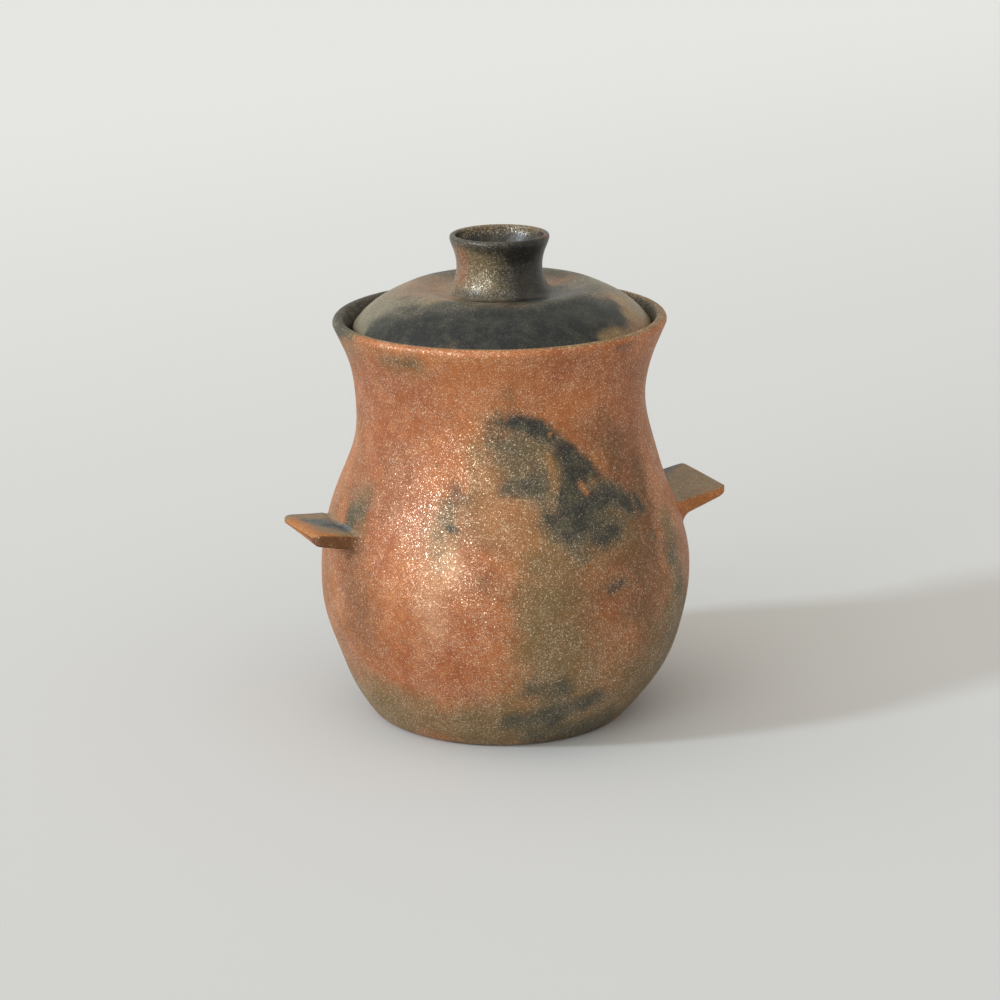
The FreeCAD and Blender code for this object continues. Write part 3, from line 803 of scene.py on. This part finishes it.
def make_knob():
    """The hollow collar, dark inside in soot, smoke and olive tones, except for a lighter part of its far
    lip.
    """
    outline = knob_outline()
    points = turned(outline, knob_columns)
    points[..., :2] += around(lean_bearing) * knob_shift
    piece = make_piece("lid_knob_clay", lid_by_hand(points), ring_closed=True)
    bearing, height = unrolled(outline, knob_columns)
    crest = np.argmax(outline[:, 1])
    inside = eased(np.arange(len(outline)), crest, crest + knob_inside_rows)[:, None] + np.zeros_like(bearing)
    light = knob_light_share * sector(bearing, centre=150.0, half=60.0, soft=30.0)
    inside *= 1.0 - light * eased(height, *knob_light_band)
    layers = {}
    for name, strokes in knob_marks.items():
        outer = wall_marks(bearing, height, strokes, knob_waist_radius)
        layers[name] = outer * (1.0 - inside) + knob_inside_dark[name] * inside
    paint(piece, False, layers)
    return piece


# ---- nodes ----

def srgb(red, green, blue):
    """A colour given as 0-255 display values, as linear RGBA."""
    def linear(value):
        """The display's curve undone: straight near black, a power of 2.4 above."""
        value /= 255.0
        return value / 12.92 if value <= 0.04045 else ((value + 0.055) / 1.055) ** 2.4

    return (linear(red), linear(green), linear(blue), 1.0)


def new_material(name):
    """A material, its node tree and its shader's inputs."""
    material = bpy.data.materials.new(name)
    material.use_nodes = True
    return material, material.node_tree, material.node_tree.nodes["Principled BSDF"].inputs


def new_group(name, inputs, outputs):
    """An empty shader node group, the sockets that its inputs give and the ones its outputs take."""
    group = bpy.data.node_groups.new(name, "ShaderNodeTree")
    for socket, value in inputs:
        made = group.interface.new_socket(socket, in_out="INPUT", socket_type="NodeSocketFloat")
        made.default_value = value
    for socket, kind in outputs:
        group.interface.new_socket(socket, in_out="OUTPUT", socket_type="NodeSocket" + kind)
    return group, group.nodes.new("NodeGroupInput").outputs, group.nodes.new("NodeGroupOutput").inputs


def put(tree, kind, values=None, **settings):
    """Outputs of a new node whose inputs are each set to a value or linked from a socket."""
    node = tree.nodes.new("ShaderNode" + kind)
    for key, value in settings.items():
        setattr(node, key, value)
    for key, value in (values or {}).items():
        if isinstance(value, bpy.types.NodeSocket):
            tree.links.new(value, node.inputs[key])
        else:
            node.inputs[key].default_value = value
    return node.outputs


def calculate(tree, operation, *values):
    """One step of arithmetic on numbers."""
    return put(tree, "Math", dict(enumerate(values)), operation=operation)[0]


def vector(tree, operation, *values):
    """One step of arithmetic on vectors or colours."""
    return put(tree, "VectorMath", dict(enumerate(values)), operation=operation)[0]


def scaled(tree, value, factor):
    """A colour or vector times a number."""
    return put(tree, "VectorMath", {0: value, "Scale": factor}, operation="SCALE")[0]


def towards(tree, place, direction):
    """How far a place lies along a direction: their dot product."""
    values = {0: place, 1: direction}
    return put(tree, "VectorMath", values, operation="DOT_PRODUCT")["Value"]


def ramp(tree, value, low, high, to_low=0.0, to_high=1.0):
    """Value brought smoothly from the range low-high to the range to_low-to_high."""
    values = {"Value": value, "From Min": low, "From Max": high, "To Min": to_low, "To Max": to_high}
    return put(tree, "MapRange", values, interpolation_type="SMOOTHSTEP")[0]


def blended(tree, factor, below, above):
    """Colour mix from below to above."""
    return put(tree, "Mix", {0: factor, 6: below, 7: above}, data_type="RGBA")[2]


def between(tree, factor, below, above, kind="FLOAT"):
    """Number or vector mix from below to above."""
    first, output = {"FLOAT": (2, 0), "VECTOR": (4, 1)}[kind]
    values = {0: factor, first: below, first + 1: above}
    return put(tree, "Mix", values, data_type=kind)[output]


def noise(tree, place, scale, detail, roughness):
    """Noise with features about 1 / scale metres across."""
    values = {"Vector": place, "Scale": scale, "Detail": detail, "Roughness": roughness}
    return put(tree, "TexNoise", values)["Fac"]


flake_rarity = 2.8              # the higher, the fewer flakes shine in full
flake_least = 0.08              # how much of a flake's shine the faintest keeps
fine_share = 0.18               # share of a mark's break-up that is fine
burnish_stretch = (0.35, 0.35, 3.0)
grit_share = 0.25               # how high the grit stands beside a burnishing stroke


def mica_group():
    """Thin flakes bedded in the clay, one to a cell, each lying at its own small angle."""
    group, given, result = new_group("mica flakes", [("Size", 1.0), ("Share", 0.5), ("Lean", 0.5)],
                                     [("Mask", "Float"), ("Normal", "Vector")])
    place = put(group, "TexCoord")["Object"]
    scale = calculate(group, "DIVIDE", 1.0 / MM, given["Size"])
    cells = put(group, "TexVoronoi", {"Vector": place, "Scale": scale})
    drawn = put(group, "SeparateColor", {0: cells["Color"]})
    richness = noise(group, place, scale=75.0, detail=5.0, roughness=0.7)
    richness = ramp(group, richness, low=0.32, high=0.68, to_low=0.4, to_high=1.55)
    share = calculate(group, "MULTIPLY", given["Share"], richness)
    chosen = calculate(group, "LESS_THAN", drawn[0], share)
    inside = ramp(group, cells["Distance"], low=0.62, high=0.3)
    strength = calculate(group, "POWER", drawn[2], flake_rarity)
    strength = calculate(group, "MULTIPLY_ADD", strength, 1.0 - flake_least, flake_least)
    mask = calculate(group, "MULTIPLY", calculate(group, "MULTIPLY", chosen, inside), strength)
    off = vector(group, "SUBTRACT", cells["Color"], (0.5, 0.5, 0.5))
    off = scaled(group, off, given["Lean"])
    facing = put(group, "NewGeometry")["Normal"]
    leaning = vector(group, "NORMALIZE", vector(group, "ADD", facing, off))
    group.links.new(mask, result["Mask"])
    group.links.new(leaning, result["Normal"])
    return group


def mark_cutout_group():
    """A mark's mask, for the smoke and flame marks and for the painted shade and painted highlight alike: a
    stored field broken up by noise, cut softly, and thin where the grain shows.
    """
    group, given, result = new_group(
        "mark cutout", [("Amount", 0.0), ("Low", 0.2), ("High", 0.6), ("Break-up", 0.4), ("Thin", 0.5)],
        [("Mask", "Float")])
    place = put(group, "TexCoord")["Object"]
    broad = noise(group, place, scale=90.0, detail=6.0, roughness=0.72)
    fine = noise(group, place, scale=850.0, detail=2.0, roughness=0.7)
    mixed = calculate(group, "ADD", calculate(group, "MULTIPLY", broad, 1.0 - fine_share),
                      calculate(group, "MULTIPLY", fine, fine_share))
    centred = calculate(group, "SUBTRACT", mixed, 0.5)
    pushed = calculate(group, "MULTIPLY_ADD", centred, given["Break-up"], given["Amount"])
    mask = ramp(group, pushed, given["Low"], given["High"])
    grain = noise(group, place, scale=520.0, detail=3.0, roughness=0.75)
    cover = ramp(group, grain, low=0.36, high=0.6, to_low=given["Thin"])
    group.links.new(calculate(group, "MULTIPLY", mask, cover), result["Mask"])
    return group


def grain_group():
    """Clay grain: tones at four sizes, and a height made of grit and level burnishing strokes."""
    group, given, result = new_group(
        "clay grain", [("Stroke", 1.0)],
        [(name, "Float") for name in ("Patch", "Mottle", "Speckle", "Cloud", "Height")])
    place = put(group, "TexCoord")["Object"]
    flattened = vector(group, "MULTIPLY", place, burnish_stretch)
    strokes = noise(group, flattened, scale=60.0, detail=2.0, roughness=0.5)
    speckle = noise(group, place, scale=1500.0, detail=2.0, roughness=0.75)
    height = calculate(group, "MULTIPLY_ADD", strokes, given["Stroke"],
                       calculate(group, "MULTIPLY", speckle, grit_share))
    for output, value in (("Patch", noise(group, place, scale=22.0, detail=3.0, roughness=0.5)),
                          ("Mottle", noise(group, place, scale=190.0, detail=5.0, roughness=0.68)),
                          ("Speckle", speckle),
                          ("Cloud", noise(group, place, scale=115.0, detail=5.0, roughness=0.66)),
                          ("Height", height)):
        group.links.new(value, result[output])
    return group


mica = mica_group()
mark_cutout = mark_cutout_group()
clay_grain = grain_group()

# ---- clays ----

# fired clay, its patches and its mottle
warm_body = (srgb(168, 97, 47), srgb(148, 79, 37), srgb(184, 126, 73))
dull_body = (srgb(150, 110, 76), srgb(128, 92, 62), srgb(158, 124, 90))
dark_body = (srgb(124, 80, 42), srgb(104, 68, 38), srgb(132, 96, 60))
mica_tone = srgb(238, 219, 192)
# each mark's tone, in the order in which one covers the other
# umber is a painted shade and pale a painted highlight; the other tones are marks from the fire
mark_tones = {"painted_shade": srgb(100, 62, 28), "pale": srgb(200, 150, 110), "olive": srgb(107, 86, 48),
              "smoke": srgb(65, 62, 45), "soot": srgb(33, 34, 31), "ochre": srgb(166, 104, 50)}
# how each is cut out of its field: low, high, break-up, thin
mark_cuts = {"painted_shade": (0.05, 0.95, 0.5, 0.9), "pale": (0.05, 0.95, 0.6, 0.8),
             "olive": (0.05, 0.95, 0.75, 0.85), "smoke": (0.1, 0.9, 1.1, 0.8),
             "soot": (0.1, 0.9, 1.25, 0.9), "ochre": (0.2, 0.95, 0.8, 0.7)}
flake_sizes = ((0.44, 0.52, 0.4), (0.76, 0.24, 0.5))    # millimetres, share of cells, lean
flake_roughness = 0.3
flake_lift = (2.2, 2.2, 2.2)                            # a dull flake's colour, times the clay's
veil_dim = 0.6                                          # how much the umber painted shade and the smoke dim flakes, as soot does
burnish_depth = 0.0006                                  # metres
speckle_contrast = 1.2
speckle_floor = 0.4                                     # brightness where the speckle is darkest


def clay(name, body=warm_body, sparkle=1.3, spread=1.0, brightness=0.72, gloss=0.42, rough=0.55,
         soot_cover=0.9, soot_dim=0.65, cloudiness=1.0, flake=mica_tone, **own_tones):
    """Burnished micaceous clay: fired body colour, smoke and flame marks, painted shade and painted highlight
    over it, mica flakes on top.

    sparkle and spread scale the flakes' share and lean. brightness is how far a flake goes from
    the clay's colour to its own, less soot_dim of it under soot.
    """
    material, tree, shader = new_material(name)
    shader["Specular IOR Level"].default_value = gloss
    grain = put(tree, "Group", node_tree=clay_grain)

    colour = blended(tree, ramp(tree, grain["Patch"], low=0.35, high=0.68), body[0], body[1])
    mottle = ramp(tree, grain["Mottle"], low=0.42, high=0.78, to_high=0.35)
    colour = blended(tree, mottle, colour, body[2])
    tones = {**mark_tones, **own_tones}
    cloudy = ramp(tree, grain["Cloud"], low=0.4, high=0.64, to_high=cloudiness)
    tones["soot"] = blended(tree, cloudy, tones["soot"], tones["smoke"])
    masks = {}
    for mark, tone in tones.items():
        low, high, break_up, thin = mark_cuts[mark]
        stored = put(tree, "Attribute", attribute_name=mark)["Fac"]
        values = {"Amount": stored, "Low": low, "High": high, "Break-up": break_up,
                  "Thin": soot_cover if mark == "soot" else thin}
        masks[mark] = put(tree, "Group", values, node_tree=mark_cutout)["Mask"]
        colour = blended(tree, masks[mark], colour, tone)
    shade = calculate(tree, "MULTIPLY_ADD", grain["Speckle"], speckle_contrast, speckle_floor)
    uneven = ramp(tree, grain["Mottle"], low=0.3, high=0.7, to_low=0.92, to_high=1.07)
    shade = calculate(tree, "MULTIPLY", shade, uneven)
    colour = scaled(tree, colour, shade)

    normal = put(tree, "Bump",
                 {"Height": grain["Height"], "Distance": burnish_depth, "Strength": 0.5})[0]
    # the umber mask is painted shade; it dims flakes as the smoke does
    veiled = calculate(tree, "MAXIMUM", masks["painted_shade"], masks["smoke"])
    smoked = calculate(tree, "MAXIMUM", masks["soot"], calculate(tree, "MULTIPLY", veiled, veil_dim))
    paleness = calculate(tree, "MULTIPLY_ADD", smoked, -soot_dim * brightness, brightness)
    flake_colour = blended(tree, paleness, vector(tree, "MULTIPLY", colour, flake_lift), flake)
    metal = None
    for size, share, lean in flake_sizes:
        flakes = put(tree, "Group", {"Size": size, "Share": share * sparkle, "Lean": lean * spread},
                     node_tree=mica)
        mask = flakes["Mask"]
        colour = blended(tree, mask, colour, flake_colour)
        normal = between(tree, mask, normal, flakes["Normal"], "VECTOR")
        metal = mask if metal is None else calculate(tree, "MAXIMUM", metal, mask)
    for socket, value in (("Base Color", colour), ("Metallic", metal), ("Normal", normal),
                          ("Roughness", between(tree, metal, rough, flake_roughness))):
        tree.links.new(value, shader[socket])
    return material


pot_clay = clay("pot_micaceous_clay")
lug_clay = clay("lug_micaceous_clay", sparkle=0.6, brightness=0.35, olive=srgb(128, 116, 88),
                smoke=srgb(82, 92, 94), soot=srgb(44, 50, 52))
# the lid's grey-olive tone is partly smoke clouding, partly a painted sheen where the dish's crest catches
# the light
lid_clay = clay("lid_smoked_clay", dull_body, sparkle=0.95, brightness=0.5, gloss=0.34, rough=0.38,
                soot_cover=0.95, soot_dim=0.8, cloudiness=0.55, flake=srgb(206, 206, 192),
                olive=srgb(114, 108, 88), smoke=srgb(58, 58, 50), soot=srgb(22, 26, 26),
                ochre=srgb(140, 114, 76))
knob_clay = clay("knob_smoked_clay", dark_body, sparkle=3.0, spread=0.9, brightness=0.39, rough=0.38,
                 soot_cover=0.95, soot_dim=0.85, flake=srgb(250, 244, 230),
                 olive=srgb(94, 80, 48), smoke=srgb(46, 42, 33), soot=srgb(19, 19, 17))

# ---- the pieces in their bodies ----

pot = make_pot()
dome = make_dome()
knob = make_knob()
left_lug = make_lug("left_lug_clay", left_lug_marks, left_lug_tones, **left_lug_shape)
right_lug = make_lug("right_lug_clay", right_lug_marks, right_lug_tones, **right_lug_shape)

for piece, node, body, slot, material in (
        (pot, "pot_body", "pot", "pot_clay", pot_clay),
        (left_lug, "left_lug", "pot", "lug_clay", lug_clay),
        (right_lug, "right_lug", "pot", "lug_clay", lug_clay),
        (dome, "lid_dome", "lid", "lid_clay", lid_clay),
        (knob, "lid_knob", "lid", "knob_clay", knob_clay)):
    piece.data.materials.append(material)
    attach(piece, body)
    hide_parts(node)


# ---- stage, light and camera, in metres and degrees ----

floor_radius = 60.0
floor_painted_light_rise = (-0.42, 1.1, 0.0)          # the way the floor grows paler, a painted falloff of the room's light
floor_tones = (srgb(203, 203, 202), srgb(222, 222, 220))
pale_wall = srgb(213, 214, 210)         # what shows beyond the floor
room_tint = (1.0, 0.968, 0.895)
room_level = 0.61
room_window = (-66.0, 0.42)             # bearing, and how much paler the room is on that side
room_ceiling = 0.38                     # how much paler it is overhead


def make_floor():
    """A wide pale disc that the pot stands on, painted paler away from the camera and to the left as a
    falloff of the room's light.
    """
    bpy.ops.mesh.primitive_circle_add(vertices=128, radius=floor_radius, fill_type="NGON")
    floor = bpy.context.object
    floor.name = "floor"
    material, tree, shader = new_material("pale_floor")
    shader["Roughness"].default_value = 0.9
    shader["Specular IOR Level"].default_value = 0.0
    # painted light: the floor's colour grows paler away from the camera and to the left
    far = towards(tree, put(tree, "TexCoord")["Object"], floor_painted_light_rise)
    colour = blended(tree, ramp(tree, far, low=-0.5, high=2.2), *floor_tones)
    tree.links.new(colour, shader["Base Color"])
    floor.data.materials.append(material)


def direction(bearing, elevation):
    """Unit vector towards a bearing and a height angle."""
    flat = around(bearing) * math.cos(math.radians(elevation))
    return Vector((flat[0], flat[1], math.sin(math.radians(elevation))))


def aim(thing, place, target):
    """Puts a lamp or camera in its place and points it at a target."""
    thing.location = place
    thing.rotation_euler = (target - place).to_track_quat("-Z", "Y").to_euler()


def make_light(name, bearing, elevation, width, strength, colour):
    """A far, soft, even light from a bearing and a height angle, as wide in degrees as it looks."""
    data = bpy.data.lights.new(name, "SUN")
    data.angle = math.radians(width)
    data.energy = strength
    data.color = colour
    aim(add_object(name, data), direction(bearing, elevation), Vector((0.0, 0.0, 0.0)))


def make_world():
    """Soft room light: paler overhead and on the window's side, dimmer away from it.

    Beyond the floor the eye sees a pale wall, and a gloss sees nothing darker than it.
    """
    world = bpy.data.worlds.new("soft_room")
    world.use_nodes = True
    bpy.context.scene.world = world
    tree = world.node_tree
    shade = tree.nodes["Background"]
    window = around(room_window[0]) * room_window[1]
    place = put(tree, "TexCoord")["Generated"]
    level = calculate(tree, "ADD", towards(tree, place, (window[0], window[1], room_ceiling)), room_level)
    path = put(tree, "LightPath")
    mirrored = calculate(tree, "MAXIMUM", path["Is Glossy Ray"], path["Is Transmission Ray"])
    level = calculate(tree, "MAXIMUM", level, calculate(tree, "MULTIPLY", mirrored, pale_wall[1]))
    colour = blended(tree, path["Is Camera Ray"], scaled(tree, room_tint, level), pale_wall)
    tree.links.new(colour, shade.inputs["Color"])
    shade.inputs["Strength"].default_value = 1.0


def make_camera(bearing, elevation, distance, height, lens):
    """Looks down on the front from the left, square on a height of the pot's axis."""
    data = bpy.data.cameras.new("camera")
    data.sensor_width = 36.0
    data.lens = lens
    data.clip_end = 200.0
    camera = add_object("camera", data)
    target = Vector((0.0, 0.0, height))
    aim(camera, target + direction(bearing, elevation) * distance, target)
    bpy.context.scene.camera = camera


make_floor()
make_light("key", bearing=-88.7, elevation=30.0, width=6.9, strength=1.48, colour=(0.74, 0.86, 1.0))
make_light("window", bearing=-60.0, elevation=13.0, width=28.0, strength=0.68, colour=(0.86, 0.93, 1.0))
make_world()
make_camera(bearing=-22.7, elevation=16.21, distance=1.45, height=0.1071, lens=104.4)
bpy.context.scene.view_settings.view_transform = "Standard"
